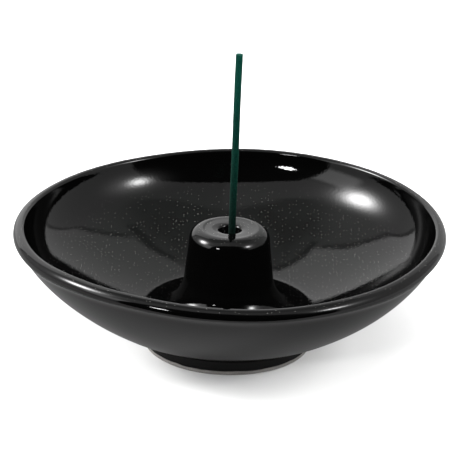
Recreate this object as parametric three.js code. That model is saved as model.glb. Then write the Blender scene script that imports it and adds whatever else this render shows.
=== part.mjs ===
// Incense burner: a shallow glazed dish with a rounded lip, a foot ring under it,
// a tapered post in the middle that holds a stick, and one incense stick in the post.
// Millimetres, +Z up, origin on the resting surface under the middle of the dish.
// Every ceramic piece is turned about Z, so each is a lathed profile of (radius, height).

import * as THREE from 'three';

const degrees = THREE.MathUtils.degToRad;

// ---- Driving dimensions -------------------------------------------------------------

const RIM_RADIUS = 63.5;          // outside of the lip: a 127 mm (5 in) dish
const LIP_HEIGHT = 35.5;          // height of the lip's widest circle
const LIP_BEAD = 2.4;             // radius of the lip's rounded outer face
const LIP_UNDER_TURN = 0.9;       // tighter rounding under that face
const LIP_UNDER_START = -5;       // where the tighter rounding starts, degrees from level
const LIP_UNDER_END = -60;        // and where it ends, over the outer wall
const LIP_INNER_EDGE = 1.0;       // rounding between the lip's crest and the inner wall

const WALL_FOOT_RADIUS = 25;      // where the outer wall leaves the foot
const WALL_FOOT_SLOPE = 18.2;     // outer wall, degrees from level, at the foot
const WALL_TOP_RADIUS = 61.7;     // where the outer wall turns out under the lip
const WALL_TOP_HEIGHT = 33.0;
const WALL_TOP_SLOPE = 60.5;
const WALL_FOOT_PULL = 9.2;       // length of the curve's handle at the foot
const WALL_TOP_PULL = 16.2;       // and at the lip

const INNER_WALL_SLOPE = 76;      // steep inner wall under the lip, degrees from level
const INNER_WALL_LENGTH = 1.2;
const INNER_WALL_TURN = 19;       // radius of the turn from the inner wall into the dish
const DISH_EDGE_SLOPE = 37.5;     // slope of the dish where that turn ends
const DISH_FOOT_SLOPE = 18;       // slope of the dish where the post's fillet starts
const POST_FILLET = 10.5;         // concave fillet round the post

const FOOT_HEIGHT = 4.6;
const FOOT_RADIUS = 24.8;
const FOOT_WIDTH = 4.6;           // radial width of the foot ring
const FOOT_EDGE = 0.6;            // rounding of its lower edges

const SEAT_SLOPE = -47;           // the post is joined to the dish where the fillet is this steep
const POST_SIDE_SLOPE = -84;      // side of the post where the fillet ends
const POST_SIDE_PULL = 5;         // length of the handles of the post's side
const POST_TOP_DRAFT = 4;         // side of the post at its top, degrees from upright
const POST_TOP_RADIUS = 11.9;
const POST_HEIGHT = 36.3;         // top of the post above the resting surface
const POST_EDGE = 3.6;            // rounding of the post's top edge
const POST_DISH_SLOPE = 8;        // the post's top falls gently towards the bore
const BORE_MOUTH_RADIUS = 3.3;
const BORE_MOUTH_HEIGHT = 35.9;
const BORE_MOUTH_EDGE = 0.8;      // rounding of the bore's mouth
const BORE_MOUTH_SLOPE = 14;      // slope where that rounding starts
const BORE_RADIUS = 1.9;
const BORE_FUNNEL = 4.0;          // depth over which the mouth narrows to the bore
const BORE_DEPTH = 16.2;

const STICK_RADIUS = 1.05;
const STICK_LENGTH = 70;          // a short stick, 2 3/4 in
const STICK_LEAN = 0.9;           // degrees from upright, towards +X
const STICK_OFFSET = 0.6;         // its axis from the bore's, at the mouth
const STICK_CLEARANCE = 0.3;      // gap under the stick's lower end
const STICK_CHAMFER = 0.15;

const TURNED_SIDES = 64;
const STICK_SIDES = 16;
const SAME_POINT = 1e-6;          // profile points closer than this are one point

// ---- Materials ----------------------------------------------------------------------

function matter(name, color, roughness) {
  return new THREE.MeshStandardMaterial({ name, color, roughness, metalness: 0 });
}

const dishGlaze = matter('black glaze on the dish', 0x050506, 0.04);
const postGlaze = matter('black glaze on the post', 0x050506, 0.04);
const bareClay = matter('unglazed clay', 0x6f6d69, 0.85);
const pressedIncense = matter('pressed incense', 0x173c32, 0.95);

// ---- Profiles -----------------------------------------------------------------------

// A pen that draws a profile of (radius, height) points. Slopes are in degrees from level.
class ProfilePen {
  constructor(radius, height) {
    this.points = [new THREE.Vector2(radius, height)];
  }

  get last() {
    return this.points[this.points.length - 1];
  }

  to(radius, height) {
    const point = new THREE.Vector2(radius, height);
    if (point.distanceTo(this.last) > SAME_POINT) {
      this.points.push(point);
    }
    return this;
  }

  // Circle arc about (centreRadius, centreHeight), angles in degrees from the outward direction.
  arc(centreRadius, centreHeight, radius, from, to, steps) {
    for (let i = 0; i <= steps; i += 1) {
      const angle = degrees(from + ((to - from) * i) / steps);
      this.to(centreRadius + radius * Math.cos(angle), centreHeight + radius * Math.sin(angle));
    }
    return this;
  }

  // Concave sweep of the inside surface, drawn inwards: slope turns from one value to another.
  sweep(radius, fromSlope, toSlope, steps) {
    const start = this.last.clone();
    const a = degrees(fromSlope);
    for (let i = 1; i <= steps; i += 1) {
      const b = degrees(fromSlope + ((toSlope - fromSlope) * i) / steps);
      this.to(
        start.x + radius * (Math.sin(b) - Math.sin(a)),
        start.y + radius * (Math.cos(a) - Math.cos(b)),
      );
    }
    return this;
  }

  // Smooth curve to a point, leaving and arriving at the given headings.
  curve(radius, height, fromHeading, toHeading, fromPull, toPull, steps) {
    const start = this.last.clone();
    const end = new THREE.Vector2(radius, height);
    const leave = new THREE.Vector2(Math.cos(degrees(fromHeading)), Math.sin(degrees(fromHeading)));
    const arrive = new THREE.Vector2(Math.cos(degrees(toHeading)), Math.sin(degrees(toHeading)));
    const bezier = new THREE.CubicBezierCurve(
      start,
      start.clone().addScaledVector(leave, fromPull),
      end.clone().addScaledVector(arrive, -toPull),
      end,
    );
    this.points.push(...bezier.getPoints(steps).slice(1));
    return this;
  }
}

// A lathed shape turns about Y, so each piece is stood up to turn about Z.
function turned(name, pen, material, sides) {
  const mesh = new THREE.Mesh(new THREE.LatheGeometry(pen.points, sides), material);
  mesh.name = name;
  mesh.rotation.x = Math.PI / 2;
  return mesh;
}

// ---- The dish's outline: underside, lip, then the inside down to the post's fillet -----

const lipCentreRadius = RIM_RADIUS - LIP_BEAD;
const crestHeight = LIP_HEIGHT + LIP_BEAD;

function dishUnderside() {
  const pen = new ProfilePen(0, FOOT_HEIGHT);
  pen.to(WALL_FOOT_RADIUS, FOOT_HEIGHT);
  pen.curve(WALL_TOP_RADIUS, WALL_TOP_HEIGHT, WALL_FOOT_SLOPE, WALL_TOP_SLOPE,
    WALL_FOOT_PULL, WALL_TOP_PULL, 12);
  return pen;
}

function addLip(pen) {
  const start = degrees(LIP_UNDER_START);
  const inset = LIP_BEAD - LIP_UNDER_TURN;
  pen.arc(lipCentreRadius + inset * Math.cos(start), LIP_HEIGHT + inset * Math.sin(start),
    LIP_UNDER_TURN, LIP_UNDER_END, LIP_UNDER_START, 3);
  pen.arc(lipCentreRadius, LIP_HEIGHT, LIP_BEAD, LIP_UNDER_START, 0, 1);
  pen.arc(lipCentreRadius, LIP_HEIGHT, LIP_BEAD, 0, 90, 7);
  pen.arc(lipCentreRadius, crestHeight - LIP_INNER_EDGE, LIP_INNER_EDGE,
    90, 90 + INNER_WALL_SLOPE, 3);
}

function addInnerSurface(pen) {
  const fall = degrees(INNER_WALL_SLOPE);
  pen.to(
    pen.last.x - INNER_WALL_LENGTH * Math.cos(fall),
    pen.last.y - INNER_WALL_LENGTH * Math.sin(fall),
  );
  pen.sweep(INNER_WALL_TURN, INNER_WALL_SLOPE, DISH_EDGE_SLOPE, 4);
  const dishRadius = pen.last.x / Math.sin(degrees(DISH_EDGE_SLOPE));
  pen.sweep(dishRadius, DISH_EDGE_SLOPE, DISH_FOOT_SLOPE, 6);
  pen.sweep(POST_FILLET, DISH_FOOT_SLOPE, SEAT_SLOPE, 5);
}

// ---- Pieces --------------------------------------------------------------------------

// The dish, with a flat seat in the middle of its floor for the post.
function makeDish() {
  const pen = dishUnderside();
  addLip(pen);
  addInnerSurface(pen);
  const seat = pen.last.clone();
  pen.to(0, seat.y);
  return { dish: turned('dish', pen, dishGlaze, TURNED_SIDES), seat };
}

// The foot ring, luted under the dish and wiped clean of glaze where it stands.
function makeFootRing() {
  const inner = FOOT_RADIUS - FOOT_WIDTH;
  const pen = new ProfilePen(inner, FOOT_HEIGHT);
  pen.arc(inner + FOOT_EDGE, FOOT_EDGE, FOOT_EDGE, 180, 270, 2);
  pen.arc(FOOT_RADIUS - FOOT_EDGE, FOOT_EDGE, FOOT_EDGE, -90, 0, 2);
  pen.to(FOOT_RADIUS, FOOT_HEIGHT);
  pen.to(inner, FOOT_HEIGHT);
  return turned('foot_ring', pen, bareClay, TURNED_SIDES);
}

// The post, standing on the dish's seat, with a blind bore for the stick.
function makePost(seat) {
  const pen = new ProfilePen(0, seat.y);
  pen.to(seat.x, seat.y);
  pen.sweep(POST_FILLET, SEAT_SLOPE, POST_SIDE_SLOPE, 3);
  const edgeHeight = POST_HEIGHT - POST_EDGE;
  const draft = degrees(POST_TOP_DRAFT);
  const edgeCentre = POST_TOP_RADIUS - POST_EDGE * Math.cos(draft);
  pen.curve(POST_TOP_RADIUS, edgeHeight + POST_EDGE * Math.sin(draft),
    180 + POST_SIDE_SLOPE, 90 + POST_TOP_DRAFT, POST_SIDE_PULL, POST_SIDE_PULL, 3);
  pen.arc(edgeCentre, edgeHeight, POST_EDGE, POST_TOP_DRAFT, 90 + POST_DISH_SLOPE, 5);
  const mouthCentre = BORE_MOUTH_RADIUS + BORE_MOUTH_EDGE;
  const mouthHeight = BORE_MOUTH_HEIGHT - BORE_MOUTH_EDGE;
  pen.arc(mouthCentre, mouthHeight, BORE_MOUTH_EDGE, 90 + BORE_MOUTH_SLOPE, 180, 3);
  pen.to(BORE_RADIUS, BORE_MOUTH_HEIGHT - BORE_FUNNEL);
  pen.to(BORE_RADIUS, BORE_MOUTH_HEIGHT - BORE_DEPTH);
  pen.to(0, BORE_MOUTH_HEIGHT - BORE_DEPTH);
  return turned('stick_post', pen, postGlaze, TURNED_SIDES);
}

// The stick, leaning in the bore: modelled upright from its lower end, then leant.
function makeStick() {
  const pen = new ProfilePen(0, 0);
  pen.to(STICK_RADIUS - STICK_CHAMFER, 0);
  pen.to(STICK_RADIUS, STICK_CHAMFER);
  pen.to(STICK_RADIUS, STICK_LENGTH - STICK_CHAMFER);
  pen.to(STICK_RADIUS - STICK_CHAMFER, STICK_LENGTH);
  pen.to(0, STICK_LENGTH);
  const leaning = new THREE.Group();
  leaning.rotation.y = degrees(STICK_LEAN);
  const lift = STICK_CLEARANCE + STICK_RADIUS * Math.sin(degrees(STICK_LEAN));
  const lowerEnd = BORE_MOUTH_HEIGHT - BORE_DEPTH + lift;
  const run = (BORE_MOUTH_HEIGHT - lowerEnd) * Math.tan(degrees(STICK_LEAN));
  leaning.position.set(STICK_OFFSET - run, 0, lowerEnd);
  leaning.add(turned('incense_stick', pen, pressedIncense, STICK_SIDES));
  return leaning;
}

// ---- Assembly ------------------------------------------------------------------------

const burner = new THREE.Group();
const { dish, seat } = makeDish();
burner.add(dish, makeFootRing(), makePost(seat), makeStick());

export default burner;
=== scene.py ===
"""An incense burner: a black glazed dish on a foot ring, with a post that holds one stick.

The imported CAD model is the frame. Each of its four pieces is replaced by a finer one,
thrown on a wheel or cut from a rod as the real one is, and every size is in millimetres
until it reaches Blender, which works in metres.
"""

import logging
import math
from dataclasses import dataclass, field
from enum import Enum
from typing import Any, Mapping, Optional, Sequence

import bpy
from bpy.types import Material, Node, NodeSocket, NodeTree, Object
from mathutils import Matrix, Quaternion, Vector


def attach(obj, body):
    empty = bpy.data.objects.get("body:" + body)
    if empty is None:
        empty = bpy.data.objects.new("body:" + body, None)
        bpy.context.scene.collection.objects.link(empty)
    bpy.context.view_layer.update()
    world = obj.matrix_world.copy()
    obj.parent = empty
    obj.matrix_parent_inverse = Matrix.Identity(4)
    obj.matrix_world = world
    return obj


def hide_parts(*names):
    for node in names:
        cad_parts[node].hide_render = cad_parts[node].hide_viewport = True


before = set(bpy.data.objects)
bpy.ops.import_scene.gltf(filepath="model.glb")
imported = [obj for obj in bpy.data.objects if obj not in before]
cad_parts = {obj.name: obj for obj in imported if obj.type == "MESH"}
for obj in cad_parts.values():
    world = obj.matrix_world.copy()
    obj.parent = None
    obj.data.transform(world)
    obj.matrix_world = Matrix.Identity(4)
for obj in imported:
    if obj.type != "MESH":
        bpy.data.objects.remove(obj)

log = logging.getLogger("incense_burner")

MM = 0.001
SAME_POINT = 1e-6
WHITE = "#ffffff"
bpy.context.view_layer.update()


# ---- Nodes and colours ---------------------------------------------------------------


def srgb(code: str) -> tuple[float, float, float, float]:
    """Turn an sRGB hex colour into the linear one that Blender's sockets hold.

    Args:
        code: The colour as "#rrggbb".

    Returns:
        Red, green, blue and an alpha of 1.
    """
    parts = [int(code[i : i + 2], 16) / 255 for i in (1, 3, 5)]
    linear = [p / 12.92 if p <= 0.04045 else ((p + 0.055) / 1.055) ** 2.4 for p in parts]
    return (linear[0], linear[1], linear[2], 1.0)


def add_node(
    tree: NodeTree,
    kind: str,
    settings: Optional[Mapping[str, Any]] = None,
    inputs: Optional[Mapping[Any, Any]] = None,
) -> Node:
    """Add a node with its settings, and set or link its inputs.

    Args:
        tree: The node tree that gets the node.
        kind: The node's type name.
        settings: The node's own properties.
        inputs: Input name or number to a value, or to the output that feeds it.

    Returns:
        The new node.
    """
    node = tree.nodes.new(kind)
    for name, value in (settings or {}).items():
        setattr(node, name, value)
    for key, value in (inputs or {}).items():
        if isinstance(value, NodeSocket):
            tree.links.new(value, node.inputs[key])
        else:
            node.inputs[key].default_value = value
    return node


def new_material(name: str) -> tuple[Material, NodeTree]:
    """Make an empty node material.

    Args:
        name: The material's name.

    Returns:
        The material and its node tree.
    """
    material = bpy.data.materials.new(name)
    material.use_nodes = True
    material.node_tree.nodes.clear()
    return material, material.node_tree


def object_place(tree: NodeTree) -> NodeSocket:
    """Give the place on the piece, in metres, in the frame's own axes."""
    return add_node(tree, "ShaderNodeTexCoord").outputs["Object"]


def finish_surface(tree: NodeTree, shader: Node) -> None:
    """Send a shader to the material's output."""
    add_node(tree, "ShaderNodeOutputMaterial", inputs={"Surface": shader.outputs[0]})


# ---- Finishes ------------------------------------------------------------------------


@dataclass(frozen=True)
class BlackGlaze:
    """Gloss black stoneware glaze, poured and fired.

    To the eye it is black glass: all that shows is what it mirrors, with a faint orange
    peel that frays the edges of reflections, and pale grains of dust where it faces up.
    Fine black pits keep part of the light, so it mirrors less than polished glass does.
    Sizes and depths are in millimetres.
    """

    name: str = "black_stoneware_glaze"
    colour: str = "#010101"
    dust_colour: str = "#a8a6a2"
    gloss: float = 0.035
    mirror: float = 0.22
    ior: float = 1.52
    peel_size: float = 0.7
    peel_depth: float = 0.011
    swell_size: float = 9.0
    swell_depth: float = 0.006
    relief_detail: float = 1.0
    dust_gloss: float = 0.5
    dust_spacing: float = 1.1
    dust_radius: float = 0.062
    dust_core: float = 0.4
    dust_free_share: float = 0.66
    dust_cover: float = 0.8
    dust_slopes: tuple[float, float] = (0.6, 0.85)

    def relief(self, tree: NodeTree, place: NodeSocket) -> Node:
        """Build the glaze's fine relief: a slow swell under an orange peel.

        Args:
            tree: The material's node tree.
            place: The place on the piece.

        Returns:
            The bump node to read the normal from.
        """
        normal: Optional[NodeSocket] = None
        bump: Optional[Node] = None
        for size, depth in (
            (self.swell_size, self.swell_depth),
            (self.peel_size, self.peel_depth),
        ):
            waves = add_node(
                tree, "ShaderNodeTexNoise",
                inputs={"Vector": place, "Scale": 1 / (size * MM), "Detail": self.relief_detail},
            )
            inputs: dict[str, Any] = {"Distance": depth * MM, "Height": waves.outputs[0]}
            if normal is not None:
                inputs["Normal"] = normal
            bump = add_node(tree, "ShaderNodeBump", inputs=inputs)
            normal = bump.outputs["Normal"]
        return bump

    def dust(self, tree: NodeTree, place: NodeSocket) -> Node:
        """Mark the grains of dust lying where the glaze faces up, 1 on a grain and 0 off it.

        Args:
            tree: The material's node tree.
            place: The place on the piece.

        Returns:
            The node whose first output is the mark.
        """
        cells = add_node(
            tree, "ShaderNodeTexVoronoi", {"voronoi_dimensions": "2D"},
            {"Vector": place, "Scale": 1 / (self.dust_spacing * MM)},
        )
        grain = add_node(
            tree,
            "ShaderNodeMapRange",
            inputs={
                "Value": cells.outputs["Distance"],
                "From Min": self.dust_radius / self.dust_spacing,
                "From Max": self.dust_core * self.dust_radius / self.dust_spacing,
            },
        )
        lot = add_node(tree, "ShaderNodeSeparateColor", inputs={0: cells.outputs["Color"]})
        kept = add_node(
            tree, "ShaderNodeMath", {"operation": "GREATER_THAN"},
            {0: lot.outputs[0], 1: self.dust_free_share},
        )
        marked = add_node(
            tree, "ShaderNodeMath", {"operation": "MULTIPLY"},
            {0: grain.outputs[0], 1: kept.outputs[0]},
        )
        normal = add_node(tree, "ShaderNodeTexCoord").outputs["Normal"]
        facing = add_node(tree, "ShaderNodeSeparateXYZ", inputs={0: normal})
        level = add_node(
            tree,
            "ShaderNodeMapRange",
            inputs={
                "Value": facing.outputs["Z"],
                "From Min": self.dust_slopes[0],
                "From Max": self.dust_slopes[1],
            },
        )
        return add_node(
            tree, "ShaderNodeMath", {"operation": "MULTIPLY"},
            {0: marked.outputs[0], 1: level.outputs[0]},
        )

    def shader(self, tree: NodeTree, place: NodeSocket) -> Node:
        """Build the glaze's shader.

        Args:
            tree: The material's node tree.
            place: The place on the piece.

        Returns:
            The shader node.
        """
        dust = self.dust(tree, place)
        colour = add_node(
            tree, "ShaderNodeMix", {"data_type": "RGBA"},
            {0: dust.outputs[0], 6: srgb(self.colour), 7: srgb(self.dust_colour)},
        )
        gloss = add_node(
            tree, "ShaderNodeMapRange",
            inputs={"Value": dust.outputs[0], "To Min": self.gloss, "To Max": self.dust_gloss},
        )
        glass = add_node(
            tree,
            "ShaderNodeBsdfPrincipled",
            inputs={
                "Base Color": colour.outputs[2],
                "Roughness": gloss.outputs[0],
                "IOR": self.ior,
                "Normal": self.relief(tree, place).outputs["Normal"],
            },
        )
        pits = add_node(tree, "ShaderNodeBsdfDiffuse", inputs={"Color": srgb(self.colour)})
        cover = add_node(
            tree, "ShaderNodeMapRange",
            inputs={"Value": dust.outputs[0], "To Min": self.mirror, "To Max": self.dust_cover},
        )
        return add_node(
            tree, "ShaderNodeMixShader",
            inputs={0: cover.outputs[0], 1: pits.outputs[0], 2: glass.outputs[0]},
        )

    def make(self) -> Material:
        """Make the glaze material."""
        material, tree = new_material(self.name)
        finish_surface(tree, self.shader(tree, object_place(tree)))
        return material


@dataclass(frozen=True)
class WipedFoot:
    """The foot ring's finish: the black glaze stops above the face it stands on.

    The glaze is wiped off before firing so that the ring doesn't stick to the kiln shelf.
    To the eye that is a thin matt grey line of bare clay with an uneven upper edge.
    Sizes, heights and depths are in millimetres.
    """

    glaze: BlackGlaze
    name: str = "wiped_stoneware_foot"
    clay_colour: str = "#5f5d5b"
    clay_dark: str = "#454341"
    clay_roughness: float = 0.85
    wipe_height: float = 1.3
    wipe_wander: float = 0.35
    wipe_blur: float = 0.12
    wander_size: float = 6.0
    wander_detail: float = 4.0
    grit_size: float = 0.35
    grit_depth: float = 0.03
    grit_detail: float = 3.0

    def bare_clay(self, tree: NodeTree, place: NodeSocket) -> Node:
        """Build the bare clay's shader: matt, with fine grit.

        Args:
            tree: The material's node tree.
            place: The place on the piece.

        Returns:
            The shader node.
        """
        grit = add_node(
            tree, "ShaderNodeTexNoise",
            inputs={
                "Vector": place,
                "Scale": 1 / (self.grit_size * MM),
                "Detail": self.grit_detail,
            },
        )
        colour = add_node(
            tree, "ShaderNodeMix", {"data_type": "RGBA"},
            {0: grit.outputs[0], 6: srgb(self.clay_dark), 7: srgb(self.clay_colour)},
        )
        bump = add_node(
            tree, "ShaderNodeBump",
            inputs={"Distance": self.grit_depth * MM, "Height": grit.outputs[0]},
        )
        return add_node(
            tree,
            "ShaderNodeBsdfPrincipled",
            inputs={
                "Base Color": colour.outputs[2],
                "Roughness": self.clay_roughness,
                "Normal": bump.outputs["Normal"],
            },
        )

    def glazed_share(self, tree: NodeTree, place: NodeSocket) -> Node:
        """Say where the glaze is: 1 above the wiped edge, 0 below it.

        Args:
            tree: The material's node tree.
            place: The place on the piece.

        Returns:
            The node whose first output is the share.
        """
        wander = add_node(
            tree, "ShaderNodeTexNoise",
            inputs={
                "Vector": place,
                "Scale": 1 / (self.wander_size * MM),
                "Detail": self.wander_detail,
            },
        )
        edge = add_node(
            tree,
            "ShaderNodeMapRange",
            inputs={
                "Value": wander.outputs[0],
                "To Min": (self.wipe_height - self.wipe_wander) * MM,
                "To Max": (self.wipe_height + self.wipe_wander) * MM,
            },
        )
        height = add_node(tree, "ShaderNodeSeparateXYZ", inputs={0: place})
        above = add_node(
            tree, "ShaderNodeMath", {"operation": "SUBTRACT"},
            {0: height.outputs["Z"], 1: edge.outputs[0]},
        )
        return add_node(
            tree,
            "ShaderNodeMapRange",
            {"interpolation_type": "SMOOTHSTEP"},
            {
                "Value": above.outputs[0],
                "From Min": -self.wipe_blur * MM,
                "From Max": self.wipe_blur * MM,
            },
        )

    def make(self) -> Material:
        """Make the foot's material."""
        material, tree = new_material(self.name)
        place = object_place(tree)
        mixed = add_node(
            tree,
            "ShaderNodeMixShader",
            inputs={
                0: self.glazed_share(tree, place).outputs[0],
                1: self.bare_clay(tree, place).outputs[0],
                2: self.glaze.shader(tree, place).outputs[0],
            },
        )
        finish_surface(tree, mixed)
        return material


@dataclass(frozen=True)
class PressedIncense:
    """Wood powder and resin, dyed dark green and extruded as a paste.

    To the eye it is quite matt, with a granular surface and paler and darker grains. The
    paste's colour is darker towards the lower end. Sizes are in millimetres.
    """

    name: str = "pressed_green_incense"
    colour: str = "#00221b"
    dark_grain: str = "#00120d"
    pale_grain: str = "#0d3a30"
    roughness: float = 0.92
    specular: float = 0.05
    # The colour is darkened towards the rod's lower end: fully at the first height, and not at all above
    # the second.
    lower_end_tint: str = "#545454"
    darkening_heights: tuple[float, float] = (36.0, 84.0)
    grain_size: float = 0.22
    grain_depth: float = 0.05
    grain_detail: float = 4.0
    grain_stops: tuple[float, float, float] = (0.30, 0.52, 0.72)

    def make(self) -> Material:
        """Make the incense material."""
        material, tree = new_material(self.name)
        place = object_place(tree)
        grains = add_node(
            tree, "ShaderNodeTexNoise",
            inputs={
                "Vector": place,
                "Scale": 1 / (self.grain_size * MM),
                "Detail": self.grain_detail,
            },
        )
        ramp = add_node(tree, "ShaderNodeValToRGB", inputs={0: grains.outputs[0]})
        stops = ramp.color_ramp.elements
        stops[0].position = self.grain_stops[0]
        stops[0].color = srgb(self.dark_grain)
        stops[1].position = self.grain_stops[2]
        stops[1].color = srgb(self.pale_grain)
        stops.new(self.grain_stops[1]).color = srgb(self.colour)
        bump = add_node(
            tree, "ShaderNodeBump",
            inputs={"Distance": self.grain_depth * MM, "Height": grains.outputs[0]},
        )
        # Darken the colour towards the rod's lower end, between the two given heights.
        height = add_node(tree, "ShaderNodeSeparateXYZ", inputs={0: place})
        height_share = add_node(
            tree,
            "ShaderNodeMapRange",
            inputs={
                "Value": height.outputs["Z"],
                "From Min": self.darkening_heights[0] * MM,
                "From Max": self.darkening_heights[1] * MM,
            },
        )
        tone = add_node(
            tree, "ShaderNodeMix", {"data_type": "RGBA"},
            {0: height_share.outputs[0], 6: srgb(self.lower_end_tint), 7: srgb(WHITE)},
        )
        colour = add_node(
            tree, "ShaderNodeMix", {"data_type": "RGBA", "blend_type": "MULTIPLY"},
            {0: 1.0, 6: ramp.outputs[0], 7: tone.outputs[2]},
        )
        shader = add_node(
            tree,
            "ShaderNodeBsdfPrincipled",
            inputs={
                "Base Color": colour.outputs[2],
                "Roughness": self.roughness,
                "Specular IOR Level": self.specular,
                "Normal": bump.outputs["Normal"],
            },
        )
        finish_surface(tree, shader)
        return material


@dataclass(frozen=True)
class StudioPaper:
    """Smooth matt background paper. To the eye it is almost pure white, with soft shadows."""

    name: str = "pale_studio_paper"
    colour: str = "#b2b2b2"
    roughness: float = 0.95

    def make(self) -> Material:
        """Make the paper material."""
        material, tree = new_material(self.name)
        shader = add_node(
            tree,
            "ShaderNodeBsdfPrincipled",
            inputs={
                "Base Color": srgb(self.colour),
                "Roughness": self.roughness,
                "Specular IOR Level": 0.0,
            },
        )
        finish_surface(tree, shader)
        return material


# ---- Modelling -----------------------------------------------------------------------


class Shading(Enum):
    """How a finished piece's faces meet."""

    SMOOTH = math.radians(60)
    CREASED = math.radians(30)


def deselect_everything() -> None:
    """Leave object mode with nothing selected, as each operator acts on the selection."""
    if bpy.context.object is not None and bpy.context.object.mode != "OBJECT":
        bpy.ops.object.mode_set(mode="OBJECT")
    bpy.ops.object.select_all(action="DESELECT")


def apply_modifiers(piece: Object) -> None:
    """Apply every modifier of the piece, in order."""
    for modifier in list(piece.modifiers):
        bpy.ops.object.modifier_apply(modifier=modifier.name)


def settle(
    piece: Object,
    body: str,
    node: str,
    material: Material,
    shading: Shading,
) -> None:
    """Finish a piece: its shading and material, the body it rides on and the node it replaces.

    Args:
        piece: The finished mesh object.
        body: The CAD body that carries it.
        node: The CAD node that it stands for.
        material: Its finish.
        shading: How its faces meet.
    """
    deselect_everything()
    piece.select_set(True)
    bpy.context.view_layer.objects.active = piece
    bpy.ops.object.transform_apply(location=True, rotation=True, scale=True)
    bpy.ops.object.shade_smooth_by_angle(angle=shading.value)
    piece.data.materials.clear()
    piece.data.materials.append(material)
    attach(piece, body)
    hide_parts(node)
    log.info("%s: %d faces, rides on %s", piece.name, len(piece.data.polygons), body)


class Wheel:
    """A potter's wheel: an outline drawn from one point, then turned about Z.

    The outline lies in the XZ plane, so its points are (radius, height) in millimetres,
    and slopes and angles are in degrees from level.
    """

    def __init__(self, name: str, radius: float, height: float) -> None:
        """Start an outline at a point.

        Args:
            name: The piece's name.
            radius: The point's distance from the wheel's axis.
            height: Its height above the resting surface.
        """
        deselect_everything()
        bpy.ops.mesh.primitive_plane_add(size=MM, location=(0, 0, 0))
        self.piece = bpy.context.object
        self.piece.name = name
        self.piece.data.name = name
        bpy.ops.object.mode_set(mode="EDIT")
        bpy.ops.mesh.select_mode(type="VERT")
        bpy.ops.mesh.select_all(action="SELECT")
        bpy.ops.mesh.merge(type="CENTER")
        bpy.ops.mesh.select_all(action="SELECT")
        bpy.ops.transform.translate(value=(radius * MM, 0, height * MM))
        self.radius = radius
        self.height = height

    def line(self, radius: float, height: float, steps: int = 1) -> None:
        """Draw a straight line to a point.

        Args:
            radius: Where the line ends.
            height: Where the line ends.
            steps: The number of edges.
        """
        across = (radius - self.radius) * MM / steps
        up = (height - self.height) * MM / steps
        if math.hypot(across, up) * steps < SAME_POINT:
            return
        for _ in range(steps):
            bpy.ops.mesh.extrude_region_move(TRANSFORM_OT_translate={"value": (across, 0, up)})
        self.radius = radius
        self.height = height

    def slope(self, fall: float, length: float, steps: int) -> None:
        """Draw a straight line inwards and down at a slope.

        Args:
            fall: The slope.
            length: The line's length.
            steps: The number of edges.
        """
        angle = math.radians(fall)
        self.line(
            self.radius - length * math.cos(angle), self.height - length * math.sin(angle), steps
        )

    def arc(
        self, centre: tuple[float, float], bend: float, start: float, end: float, steps: int
    ) -> None:
        """Draw a round stretch by spinning the last point about a centre.

        Args:
            centre: The arc's centre, (radius, height).
            bend: The arc's radius.
            start: The angle it starts at, from the outward direction.
            end: The angle it ends at.
            steps: The number of edges.
        """
        first = math.radians(start)
        self.line(centre[0] + bend * math.cos(first), centre[1] + bend * math.sin(first))
        bpy.ops.mesh.spin(
            steps=steps,
            angle=math.radians(end - start),
            center=(centre[0] * MM, 0, centre[1] * MM),
            axis=(0, 1, 0),
            use_auto_merge=False,
        )
        last = math.radians(end)
        self.radius = centre[0] + bend * math.cos(last)
        self.height = centre[1] + bend * math.sin(last)

    def sweep(self, bend: float, from_slope: float, to_slope: float, steps: int) -> None:
        """Draw the hollow inside surface inwards, as its slope turns from one to another.

        Args:
            bend: The radius of the hollow.
            from_slope: The slope where it starts.
            to_slope: The slope where it ends.
            steps: The number of edges.
        """
        angle = math.radians(from_slope)
        centre = (
            self.radius - bend * math.sin(angle),
            self.height + bend * math.cos(angle),
        )
        self.arc(centre, bend, from_slope - 90, to_slope - 90, steps)

    def curve(
        self,
        end: tuple[float, float],
        headings: tuple[float, float],
        pulls: tuple[float, float],
        steps: int,
    ) -> None:
        """Draw a smooth curve to a point, leaving and arriving at the given headings.

        Args:
            end: Where the curve ends, (radius, height).
            headings: The directions it leaves and arrives in.
            pulls: The lengths of its two handles.
            steps: The number of edges.
        """
        start = Vector((self.radius, self.height))
        leave, arrive = (
            Vector((math.cos(math.radians(h)), math.sin(math.radians(h)))) for h in headings
        )
        goal = Vector(end)
        first = start + leave * pulls[0]
        second = goal - arrive * pulls[1]
        for i in range(1, steps + 1):
            t = i / steps
            s = 1 - t
            point = start * s**3 + first * 3 * s * s * t + second * 3 * s * t * t + goal * t**3
            self.line(point.x, point.y)

    def turn(self, steps: int) -> Object:
        """Turn the outline about the wheel's axis into a closed body.

        Args:
            steps: The number of faces round the piece.

        Returns:
            The turned piece, in object mode.
        """
        bpy.ops.mesh.select_all(action="SELECT")
        bpy.ops.mesh.spin(
            steps=steps, angle=math.tau, center=(0, 0, 0), axis=(0, 0, 1), use_auto_merge=False
        )
        bpy.ops.mesh.select_all(action="SELECT")
        bpy.ops.mesh.remove_doubles(threshold=SAME_POINT)
        bpy.ops.mesh.normals_make_consistent(inside=False)
        bpy.ops.object.mode_set(mode="OBJECT")
        return self.piece


# ---- The dish ------------------------------------------------------------------------


@dataclass(frozen=True)
class Grab:
    """One pull on the dish's rim, as clay is pulled out of true on the wheel and in the kiln."""

    azimuth: float
    lift: float
    reach: float = 48.0
    span: float = 14.0


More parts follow.
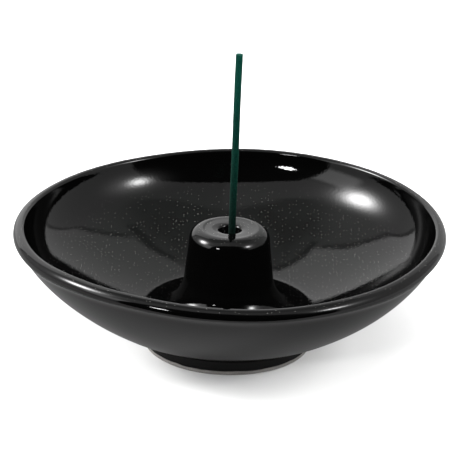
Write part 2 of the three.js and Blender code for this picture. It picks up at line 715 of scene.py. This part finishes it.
@dataclass
class Dish:
    """The dish: its underside, the rounded lip, and the inside down to the post's seat."""

    rim_radius: float = 63.5
    lip_height: float = 35.5
    lip_bead: float = 2.4
    lip_under_turn: float = 0.9
    lip_under: tuple[float, float] = (-60.0, -5.0)
    lip_inner_edge: float = 1.0
    wall_foot: tuple[float, float] = (25.0, 4.6)
    wall_top: tuple[float, float] = (61.7, 33.0)
    wall_slopes: tuple[float, float] = (18.2, 60.5)
    wall_pulls: tuple[float, float] = (9.2, 16.2)
    inner_wall_slope: float = 76.0
    inner_wall_length: float = 1.2
    inner_wall_turn: float = 19.0
    dish_edge_slope: float = 37.5
    dish_foot_slope: float = 18.0
    post_fillet: float = 10.5
    seat_slope: float = -47.0
    round_steps: int = 256
    rim_tip: float = 0.6
    rim_reach: float = 44.0
    grabs: Sequence[Grab] = (
        Grab(235, 0.7, 24, 8),
        Grab(300, -0.95, 36, 14),
        Grab(60, 0.5),
        Grab(135, -0.5),
    )
    seat: tuple[float, float] = field(init=False, default=(0.0, 0.0))

    def draw_underside(self, wheel: Wheel) -> None:
        """Draw the flat underside and the outer wall."""
        wheel.line(*self.wall_foot)
        wheel.curve(self.wall_top, self.wall_slopes, self.wall_pulls, steps=60)

    def draw_lip(self, wheel: Wheel) -> None:
        """Draw the turn under the lip, its rounded face and the rounding inside it."""
        centre = self.rim_radius - self.lip_bead
        first, last = self.lip_under
        inset = self.lip_bead - self.lip_under_turn
        angle = math.radians(last)
        under = (centre + inset * math.cos(angle), self.lip_height + inset * math.sin(angle))
        wheel.arc(under, self.lip_under_turn, first, last, steps=14)
        wheel.arc((centre, self.lip_height), self.lip_bead, last, 0, steps=2)
        wheel.arc((centre, self.lip_height), self.lip_bead, 0, 90, steps=30)
        edge = (centre, self.lip_height + self.lip_bead - self.lip_inner_edge)
        wheel.arc(edge, self.lip_inner_edge, 90, 90 + self.inner_wall_slope, steps=16)

    def draw_inside(self, wheel: Wheel) -> None:
        """Draw the inside: the short steep wall, the turn, the dish and the fillet."""
        wheel.slope(self.inner_wall_slope, self.inner_wall_length, steps=2)
        wheel.sweep(self.inner_wall_turn, self.inner_wall_slope, self.dish_edge_slope, steps=26)
        bend = wheel.radius / math.sin(math.radians(self.dish_edge_slope))
        wheel.sweep(bend, self.dish_edge_slope, self.dish_foot_slope, steps=44)
        wheel.sweep(self.post_fillet, self.dish_foot_slope, self.seat_slope, steps=42)

    def select_rim(self, piece: Object, azimuth: float, span: float) -> None:
        """Select the lip's crest within a span of an azimuth, and go into edit mode.

        Args:
            piece: The turned dish.
            azimuth: Degrees round from +X.
            span: Half the width selected, in degrees.
        """
        bpy.ops.object.mode_set(mode="EDIT")
        bpy.ops.mesh.select_all(action="DESELECT")
        bpy.ops.object.mode_set(mode="OBJECT")
        angle = math.radians(azimuth)
        toward = Vector((math.cos(angle), math.sin(angle)))
        least = math.cos(math.radians(span))
        for vertex in piece.data.vertices:
            flat = vertex.co.xy
            on_rim = flat.length > (self.rim_radius - self.lip_bead) * MM
            vertex.select = on_rim and flat.normalized().dot(toward) >= least
        bpy.ops.object.mode_set(mode="EDIT")

    def pull_rim(self, piece: Object) -> None:
        """Tip the rim and pull it slightly out of true, fading smoothly into the dish.

        Args:
            piece: The turned dish.
        """
        self.select_rim(piece, 0, 180)
        bpy.ops.transform.rotate(
            value=math.radians(self.rim_tip),
            orient_axis="Y",
            center_override=(0, 0, self.lip_height * MM),
            use_proportional_edit=True,
            proportional_edit_falloff="SMOOTH",
            proportional_size=self.rim_reach * MM,
        )
        for grab in self.grabs:
            self.select_rim(piece, grab.azimuth, grab.span)
            bpy.ops.transform.translate(
                value=(0, 0, grab.lift * MM),
                use_proportional_edit=True,
                proportional_edit_falloff="SMOOTH",
                proportional_size=grab.reach * MM,
            )
        bpy.ops.object.mode_set(mode="OBJECT")

    def build(self, glaze: Material) -> Object:
        """Throw the dish, pull its rim and glaze it.

        Args:
            glaze: The glaze.

        Returns:
            The finished dish.
        """
        wheel = Wheel("glazed_dish", 0, self.wall_foot[1])
        self.draw_underside(wheel)
        self.draw_lip(wheel)
        self.draw_inside(wheel)
        self.seat = (wheel.radius, wheel.height)
        wheel.line(0, wheel.height)
        piece = wheel.turn(self.round_steps)
        self.pull_rim(piece)
        settle(piece, "burner", "dish", glaze, Shading.CREASED)
        return piece


# ---- The foot ring -------------------------------------------------------------------


@dataclass
class FootRing:
    """The foot ring, luted under the dish, with rounded lower edges."""

    height: float
    radius: float = 24.8
    width: float = 4.6
    edge: float = 0.6
    round_steps: int = 192

    def build(self, finish: Material) -> Object:
        """Throw the foot ring and finish it.

        Args:
            finish: Its glaze and bare clay.

        Returns:
            The finished ring.
        """
        inner = self.radius - self.width
        wheel = Wheel("foot_ring_wiped", inner, self.height)
        wheel.line(inner, self.edge, steps=4)
        wheel.arc((inner + self.edge, self.edge), self.edge, 180, 270, steps=8)
        wheel.line(self.radius - self.edge, 0, steps=6)
        wheel.arc((self.radius - self.edge, self.edge), self.edge, -90, 0, steps=8)
        wheel.line(self.radius, self.height, steps=4)
        wheel.line(inner, self.height, steps=2)
        piece = wheel.turn(self.round_steps)
        settle(piece, "burner", "foot_ring", finish, Shading.CREASED)
        return piece


# ---- The post ------------------------------------------------------------------------


@dataclass
class StickPost:
    """The post: a tapered column with a rounded top edge and a blind bore for the stick."""

    seat: tuple[float, float]
    fillet: float
    seat_slope: float
    side_slope: float = -84.0
    side_pull: float = 5.0
    top_draft: float = 4.0
    top_radius: float = 11.9
    height: float = 36.3
    edge: float = 3.6
    top_fall: float = 8.0
    mouth_radius: float = 3.3
    mouth_height: float = 35.9
    mouth_edge: float = 0.8
    mouth_slope: float = 14.0
    bore_radius: float = 1.9
    bore_funnel: float = 4.0
    bore_depth: float = 16.2
    round_steps: int = 192

    @property
    def bore_floor(self) -> float:
        """Give the height of the bore's floor."""
        return self.mouth_height - self.bore_depth

    def draw_side(self, wheel: Wheel) -> None:
        """Draw the rest of the fillet, the tapered side and the rounded top edge."""
        wheel.sweep(self.fillet, self.seat_slope, self.side_slope, steps=24)
        draft = math.radians(self.top_draft)
        centre = (self.top_radius - self.edge * math.cos(draft), self.height - self.edge)
        shoulder = (self.top_radius, centre[1] + self.edge * math.sin(draft))
        headings = (180 + self.side_slope, 90 + self.top_draft)
        wheel.curve(shoulder, headings, (self.side_pull, self.side_pull), steps=20)
        wheel.arc(centre, self.edge, self.top_draft, 90 + self.top_fall, steps=36)

    def draw_bore(self, wheel: Wheel) -> None:
        """Draw the shallow top, the bore's rounded mouth, its funnel and its floor."""
        centre = (self.mouth_radius + self.mouth_edge, self.mouth_height - self.mouth_edge)
        start = math.radians(90 + self.mouth_slope)
        mouth = (
            centre[0] + self.mouth_edge * math.cos(start),
            centre[1] + self.mouth_edge * math.sin(start),
        )
        pull = math.hypot(wheel.radius - mouth[0], wheel.height - mouth[1]) / 3
        headings = (180 + self.top_fall, 180 + self.mouth_slope)
        wheel.curve(mouth, headings, (pull, pull), steps=14)
        wheel.arc(centre, self.mouth_edge, 90 + self.mouth_slope, 180, steps=12)
        wheel.line(self.bore_radius, self.mouth_height - self.bore_funnel, steps=3)
        wheel.line(self.bore_radius, self.bore_floor, steps=6)
        wheel.line(0, self.bore_floor)

    def build(self, glaze: Material) -> Object:
        """Throw the post on the dish's seat and glaze it.

        Args:
            glaze: The glaze.

        Returns:
            The finished post.
        """
        wheel = Wheel("glazed_stick_post", 0, self.seat[1])
        wheel.line(*self.seat)
        self.draw_side(wheel)
        self.draw_bore(wheel)
        piece = wheel.turn(self.round_steps)
        settle(piece, "burner", "stick_post", glaze, Shading.CREASED)
        return piece


# ---- The stick -----------------------------------------------------------------------


@dataclass
class IncenseStick:
    """The incense stick: a coreless rod with a granular skin and blunt cut ends.

    It is 0.1 mm shorter than the CAD model's, so that its grain stays inside that model's box.
    It leans towards +X and crosses the bore's mouth at its offset from the middle.
    """

    mouth_height: float
    bore_floor: float
    radius: float = 1.05
    length: float = 69.9
    lean: float = 0.9
    offset: float = 0.6
    clearance: float = 0.3
    sides: int = 28
    ring_spacing: float = 0.28
    grain_size: float = 0.45
    grain_depth: float = 0.07
    sway_size: float = 16.0
    sway_depth: float = 0.22
    end_insets: tuple[float, float, float] = (0.12, 0.3, 0.3)

    def draw_rod(self) -> Object:
        """Draw the upright rod, with rings along it and flat ends.

        Returns:
            The rod, its lower end at the frame's origin.
        """
        deselect_everything()
        bpy.ops.mesh.primitive_circle_add(
            vertices=self.sides, radius=self.radius * MM, fill_type="NGON", location=(0, 0, 0)
        )
        piece = bpy.context.object
        piece.name = "incense_rod"
        piece.data.name = "incense_rod"
        rings = round(self.length / self.ring_spacing)
        rise = self.length / rings * MM
        bpy.ops.object.mode_set(mode="EDIT")
        bpy.ops.mesh.select_all(action="SELECT")
        for _ in range(rings):
            bpy.ops.mesh.extrude_region_move(TRANSFORM_OT_translate={"value": (0, 0, rise)})
        self.close_end()
        bpy.ops.mesh.select_all(action="SELECT")
        bpy.ops.mesh.normals_make_consistent(inside=False)
        bpy.ops.object.mode_set(mode="OBJECT")
        return piece

    def close_end(self) -> None:
        """Fill the cut end that is selected with flat rings that can take grain."""
        for inset in self.end_insets:
            bpy.ops.mesh.inset(thickness=inset * MM, depth=0)
        bpy.ops.mesh.poke()

    def roughen(self, piece: Object) -> None:
        """Give the rod its granular skin and the slight sway of a dried extrusion.

        Args:
            piece: The upright rod.
        """
        for label, size, depth, direction in (
            ("grain", self.grain_size, self.grain_depth, "NORMAL"),
            ("sway", self.sway_size, self.sway_depth, "X"),
        ):
            texture = bpy.data.textures.new(f"incense_{label}", "CLOUDS")
            texture.noise_scale = size * MM
            texture.noise_depth = 1
            displace = piece.modifiers.new(label, "DISPLACE")
            displace.texture = texture
            displace.texture_coords = "LOCAL"
            displace.direction = direction
            displace.strength = depth * MM
            displace.mid_level = 0.5
        bpy.context.view_layer.objects.active = piece
        apply_modifiers(piece)

    def stand(self, piece: Object) -> None:
        """Lean the rod and stand it in the bore.

        Args:
            piece: The upright rod.
        """
        lean = math.radians(self.lean)
        lower_end = self.bore_floor + self.clearance + self.radius * math.sin(lean)
        run = (self.mouth_height - lower_end) * math.tan(lean)
        piece.rotation_euler = (0, lean, 0)
        piece.location = ((self.offset - run) * MM, 0, lower_end * MM)

    def build(self, finish: Material) -> Object:
        """Make the stick and stand it in the post.

        Args:
            finish: The incense's material.

        Returns:
            The finished stick.
        """
        piece = self.draw_rod()
        self.roughen(piece)
        self.stand(piece)
        settle(piece, "stick", "incense_stick", finish, Shading.SMOOTH)
        return piece


# ---- The studio ----------------------------------------------------------------------


@dataclass(frozen=True)
class TentPanel:
    """A patch of the light tent, between two azimuths and two heights, in degrees."""

    azimuths: tuple[float, float]
    heights: tuple[float, float]
    brightness: float
    blur: float = 1.5


@dataclass(frozen=True)
class Glow:
    """A lamp's soft glow through the tent, centred on an azimuth and a height."""

    azimuth: float
    height: float
    spread: float
    strength: float


@dataclass(frozen=True)
class Lamp:
    """A bare oval lamp with a crisp outline, seen through the tent's opening."""

    azimuth: float
    height: float
    half_width: float
    half_height: float
    strength: float
    outline: tuple[float, float] = (0.6, 1.3)


@dataclass(frozen=True)
class Softbox:
    """A soft lamp outside the tent that lights the paper but is not mirrored in the glaze.

    Its size and distance are in metres and its power is in watts.
    """

    name: str
    azimuth: float
    height: float
    size: float
    power: float
    distance: float = 1.0


def heading(azimuth: float, height: float) -> Vector:
    """Turn an azimuth from +Y towards +X, and a height, into a direction.

    Args:
        azimuth: Degrees round from +Y.
        height: Degrees above the horizon.

    Returns:
        The unit vector.
    """
    a = math.radians(azimuth)
    h = math.radians(height)
    return Vector((math.sin(a) * math.cos(h), math.cos(a) * math.cos(h), math.sin(h)))


@dataclass
class Studio:
    """A white light tent on a sheet of paper, open towards the camera, with its lamps.

    The glaze mirrors the tent at its full power. The softboxes light the matt surfaces, and
    the tent adds only its shaded share to them. The paper's sizes are in metres, and the
    camera's distance and aim are in millimetres.
    """

    opening: float = 0.54
    opening_blur: float = 0.02
    fabric: float = 0.42
    wrinkle: float = 0.035
    wrinkle_scale: float = 7.0
    backdrop: float = 1.0
    power: float = 4.55
    shaded: float = 0.138
    paper_reach: float = 1.4
    paper_front: float = 0.125
    elevation: float = 22.28
    distance: float = 762.0
    lens: float = 202.97
    sensor: float = 36.0
    roll: float = 1.5
    aim: tuple[float, float, float] = (0.06, 0.0, 35.73)
    clip: tuple[float, float] = (0.01, 20.0)
    panels: Sequence[TentPanel] = (
        TentPanel((-180, -100), (33, 90), 0.52, 6),
        TentPanel((100, 180), (33, 90), 0.42, 6),
        TentPanel((-100, 95), (57, 90), 0.28, 16),
        TentPanel((-44, 4), (-5, 56), 1.0),
        TentPanel((4, 44), (-5, 54), 0.62, 2),
        TentPanel((-130, -100), (8, 30), 1.5, 7),
        TentPanel((-46.5, -43.5), (3, 52), 0.20),
        TentPanel((-48, -20), (54.5, 57.5), 0.17),
        TentPanel((43, 45.5), (4, 54), 0.22),
        TentPanel((22, 53), (55, 58), 0.18),
    )
    glows: Sequence[Glow] = (
        Glow(-88, 32.5, 6.1, 30.0),
        Glow(-88, 32.0, 12.0, 1.5),
        Glow(120, 32.5, 3.8, 19.0),
        Glow(116, 33.0, 9.0, 1.5),
    )
    lamps: Sequence[Lamp] = (Lamp(-146, 22.3, 4.8, 2.4, 45.0),)
    softboxes: Sequence[Softbox] = (
        Softbox("overhead", 0, 90, 1.2, 15.0),
        Softbox("front", -165, 42, 0.9, 12.5),
        Softbox("right", 100, 38, 0.5, 16.5),
    )

    def window(
        self,
        tree: NodeTree,
        value: NodeSocket,
        ends: tuple[float, float],
        blur: float,
    ) -> NodeSocket:
        """Be 1 between two values and 0 outside them.

        Args:
            tree: The world's node tree.
            value: The value.
            ends: The two values.
            blur: The width of the soft edges.

        Returns:
            The output that holds the window.
        """
        middle = (ends[0] + ends[1]) / 2
        half = (ends[1] - ends[0]) / 2
        away = add_node(tree, "ShaderNodeMath", {"operation": "SUBTRACT"}, {0: value, 1: middle})
        size = add_node(tree, "ShaderNodeMath", {"operation": "ABSOLUTE"}, {0: away.outputs[0]})
        return add_node(
            tree,
            "ShaderNodeMapRange",
            {"interpolation_type": "SMOOTHSTEP"},
            {"Value": size.outputs[0], "From Min": half + blur / 2, "From Max": half - blur / 2},
        ).outputs[0]

    def tent(self, tree: NodeTree, place: NodeSocket) -> NodeSocket:
        """Build the tent's brightness, panel by panel, with wrinkled edges.

        Args:
            tree: The world's node tree.
            place: The direction.

        Returns:
            The output that holds the brightness.
        """
        noise = add_node(
            tree, "ShaderNodeTexNoise", inputs={"Vector": place, "Scale": self.wrinkle_scale}
        )
        centred = add_node(
            tree, "ShaderNodeVectorMath", {"operation": "SUBTRACT"},
            {0: noise.outputs["Color"], 1: (0.5, 0.5, 0.5)},
        )
        shift = add_node(
            tree, "ShaderNodeVectorMath", {"operation": "SCALE"},
            {0: centred.outputs[0], "Scale": self.wrinkle},
        )
        moved = add_node(
            tree, "ShaderNodeVectorMath", {"operation": "ADD"}, {0: place, 1: shift.outputs[0]}
        )
        parts = add_node(tree, "ShaderNodeSeparateXYZ", inputs={0: moved.outputs[0]})
        azimuth = add_node(
            tree, "ShaderNodeMath", {"operation": "ARCTAN2"},
            {0: parts.outputs["X"], 1: parts.outputs["Y"]},
        )
        height = add_node(tree, "ShaderNodeMath", {"operation": "ARCSINE"}, {0: parts.outputs["Z"]})
        level: Any = self.fabric
        for panel in self.panels:
            blur = math.radians(panel.blur)
            across = self.window(
                tree, azimuth.outputs[0], tuple(map(math.radians, panel.azimuths)), blur
            )
            up = self.window(
                tree, height.outputs[0], tuple(map(math.radians, panel.heights)), blur
            )
            share = add_node(tree, "ShaderNodeMath", {"operation": "MULTIPLY"}, {0: across, 1: up})
            level = add_node(
                tree, "ShaderNodeMix", inputs={0: share.outputs[0], 2: level, 3: panel.brightness}
            ).outputs[0]
        toward = add_node(
            tree, "ShaderNodeMath", {"operation": "MULTIPLY"}, {0: parts.outputs["Y"], 1: -1.0}
        )
        closed = add_node(
            tree,
            "ShaderNodeMapRange",
            {"interpolation_type": "SMOOTHSTEP"},
            {
                "Value": toward.outputs[0],
                "From Min": self.opening + self.opening_blur,
                "From Max": self.opening - self.opening_blur,
            },
        )
        return add_node(
            tree, "ShaderNodeMath", {"operation": "MULTIPLY"}, {0: level, 1: closed.outputs[0]}
        ).outputs[0]

    def glow(
        self, tree: NodeTree, place: NodeSocket, glow: Glow
    ) -> NodeSocket:
        """Build one soft glow, fading as a bell curve round its centre.

        Args:
            tree: The world's node tree.
            place: The direction.
            glow: The glow.

        Returns:
            The output that holds its brightness.
        """
        facing = add_node(
            tree, "ShaderNodeVectorMath", {"operation": "DOT_PRODUCT"},
            {0: place, 1: heading(glow.azimuth, glow.height)},
        )
        spread = math.radians(glow.spread) ** 2
        power = add_node(
            tree, "ShaderNodeMath", {"operation": "MULTIPLY_ADD"},
            {0: facing.outputs["Value"], 1: 1 / spread, 2: -1 / spread},
        )
        bell = add_node(tree, "ShaderNodeMath", {"operation": "EXPONENT"}, {0: power.outputs[0]})
        return add_node(
            tree, "ShaderNodeMath", {"operation": "MULTIPLY"},
            {0: bell.outputs[0], 1: glow.strength},
        ).outputs[0]

    def lamp(
        self, tree: NodeTree, place: NodeSocket, lamp: Lamp
    ) -> NodeSocket:
        """Build one bare oval lamp with a crisp outline.

        Args:
            tree: The world's node tree.
            place: The direction.
            lamp: The lamp.

        Returns:
            The output that holds its brightness.
        """
        toward = heading(lamp.azimuth, lamp.height)
        across = Vector((0, 0, 1)).cross(toward).normalized()
        up = toward.cross(across)
        squares = []
        for axis, half in ((across, lamp.half_width), (up, lamp.half_height)):
            part = add_node(
                tree, "ShaderNodeVectorMath", {"operation": "DOT_PRODUCT"},
                {0: place, 1: axis / math.sin(math.radians(half))},
            )
            square = add_node(
                tree, "ShaderNodeMath", {"operation": "MULTIPLY"},
                {0: part.outputs["Value"], 1: part.outputs["Value"]},
            )
            squares.append(square.outputs[0])
        facing = add_node(
            tree, "ShaderNodeVectorMath", {"operation": "DOT_PRODUCT"}, {0: place, 1: toward}
        )
        ahead = add_node(
            tree, "ShaderNodeMath", {"operation": "GREATER_THAN"},
            {0: facing.outputs["Value"], 1: 0.0},
        )
        spread = add_node(
            tree, "ShaderNodeMath", {"operation": "ADD"}, {0: squares[0], 1: squares[1]}
        )
        core, rim = lamp.outline
        inside = add_node(
            tree,
            "ShaderNodeMapRange",
            {"interpolation_type": "SMOOTHSTEP"},
            {"Value": spread.outputs[0], "From Min": rim, "From Max": core},
        )
        lit = add_node(
            tree, "ShaderNodeMath", {"operation": "MULTIPLY"}, {0: inside.outputs[0], 1: ahead.outputs[0]}
        )
        return add_node(
            tree, "ShaderNodeMath", {"operation": "MULTIPLY"},
            {0: lit.outputs[0], 1: lamp.strength},
        ).outputs[0]

    def tent_strength(
        self,
        tree: NodeTree,
        place: NodeSocket,
        diffuse: NodeSocket,
    ) -> NodeSocket:
        """Add the glows and lamps to the tent, and shade it for matt surfaces.

        Args:
            tree: The world's node tree.
            place: The direction.
            diffuse: 1 for light that falls on a matt surface, 0 for a reflection.

        Returns:
            The output that holds the tent's strength.
        """
        brightness = self.tent(tree, place)
        lit = [self.glow(tree, place, glow) for glow in self.glows]
        lit += [self.lamp(tree, place, lamp) for lamp in self.lamps]
        for part in lit:
            brightness = add_node(
                tree, "ShaderNodeMath", {"operation": "ADD"}, {0: brightness, 1: part}
            ).outputs[0]
        share = add_node(
            tree,
            "ShaderNodeMapRange",
            inputs={
                "Value": diffuse,
                "To Min": self.power,
                "To Max": self.power * self.shaded,
            },
        )
        return add_node(
            tree, "ShaderNodeMath", {"operation": "MULTIPLY"}, {0: brightness, 1: share.outputs[0]}
        ).outputs[0]

    def light(self) -> None:
        """Light the scene: the tent with its glows and lamps, and a white backdrop."""
        world = bpy.data.worlds.new("light_tent")
        bpy.context.scene.world = world
        world.use_nodes = True
        tree = world.node_tree
        tree.nodes.clear()
        place = add_node(tree, "ShaderNodeTexCoord").outputs["Generated"]
        path = add_node(tree, "ShaderNodeLightPath")
        strength = self.tent_strength(tree, place, path.outputs["Is Diffuse Ray"])
        tent, backdrop = (
            add_node(tree, "ShaderNodeBackground", inputs={"Color": srgb(WHITE), "Strength": level})
            for level in (strength, self.backdrop)
        )
        mixed = add_node(
            tree, "ShaderNodeMixShader",
            inputs={0: path.outputs["Is Camera Ray"], 1: tent.outputs[0], 2: backdrop.outputs[0]},
        )
        add_node(tree, "ShaderNodeOutputWorld", inputs={"Surface": mixed.outputs[0]})
        bpy.context.scene.view_settings.view_transform = "Standard"
        log.info("light tent: %d panels, %d lamps", len(self.panels), len(self.lamps))

    def hang_softboxes(self) -> None:
        """Hang the softboxes, each turned towards the burner."""
        for box in self.softboxes:
            data = bpy.data.lights.new(box.name, "AREA")
            data.size = box.size
            data.energy = box.power
            lamp = bpy.data.objects.new(box.name, data)
            bpy.context.scene.collection.objects.link(lamp)
            outward = heading(box.azimuth, box.height)
            lamp.location = outward * box.distance
            lamp.rotation_mode = "QUATERNION"
            lamp.rotation_quaternion = outward.to_track_quat("Z", "Y")
            lamp.visible_glossy = False
            lamp.visible_camera = False
            log.info("%s: hung", box.name)

    def lay_paper(self) -> Object:
        """Lay the sheet of white paper that the burner stands on.

        Returns:
            The paper, which isn't part of the object.
        """
        deselect_everything()
        bpy.ops.mesh.primitive_plane_add(size=2 * self.paper_reach, location=(0, 0, 0))
        paper = bpy.context.object
        paper.name = "studio_paper"
        bpy.ops.object.mode_set(mode="EDIT")
        bpy.ops.mesh.select_all(action="SELECT")
        bpy.ops.mesh.bisect(
            plane_co=(0, -self.paper_front, 0), plane_no=(0, 1, 0), clear_inner=True
        )
        bpy.ops.object.mode_set(mode="OBJECT")
        paper.data.materials.append(StudioPaper().make())
        log.info("%s: laid", paper.name)
        return paper

    def place_camera(self) -> Object:
        """Place the camera, looking down into the dish from the front.

        Returns:
            The camera.
        """
        tilt = math.radians(self.elevation)
        toward = Vector((0, math.cos(tilt), -math.sin(tilt)))
        data = bpy.data.cameras.new("camera")
        data.sensor_width = self.sensor
        data.lens = self.lens
        camera = bpy.data.objects.new("camera", data)
        bpy.context.scene.collection.objects.link(camera)
        camera.location = (Vector(self.aim) - toward * self.distance) * MM
        camera.rotation_mode = "QUATERNION"
        turn = Quaternion((0, 0, 1), math.radians(self.roll))
        camera.rotation_quaternion = toward.to_track_quat("-Z", "Y") @ turn
        data.clip_start, data.clip_end = self.clip
        bpy.context.scene.camera = camera
        return camera


# ---- Assembly ------------------------------------------------------------------------


def main() -> None:
    """Build the studio, then each piece of the burner, in order."""
    logging.basicConfig(level=logging.INFO, format="%(name)s %(message)s")
    studio = Studio()
    studio.place_camera()
    studio.light()
    studio.hang_softboxes()
    studio.lay_paper()

    glaze = BlackGlaze()
    glaze_material = glaze.make()
    dish = Dish()
    dish.build(glaze_material)
    FootRing(dish.wall_foot[1]).build(WipedFoot(glaze).make())
    post = StickPost(dish.seat, dish.post_fillet, dish.seat_slope)
    post.build(glaze_material)
    IncenseStick(post.mouth_height, post.bore_floor).build(PressedIncense().make())


if __name__ == "__main__":
    main()
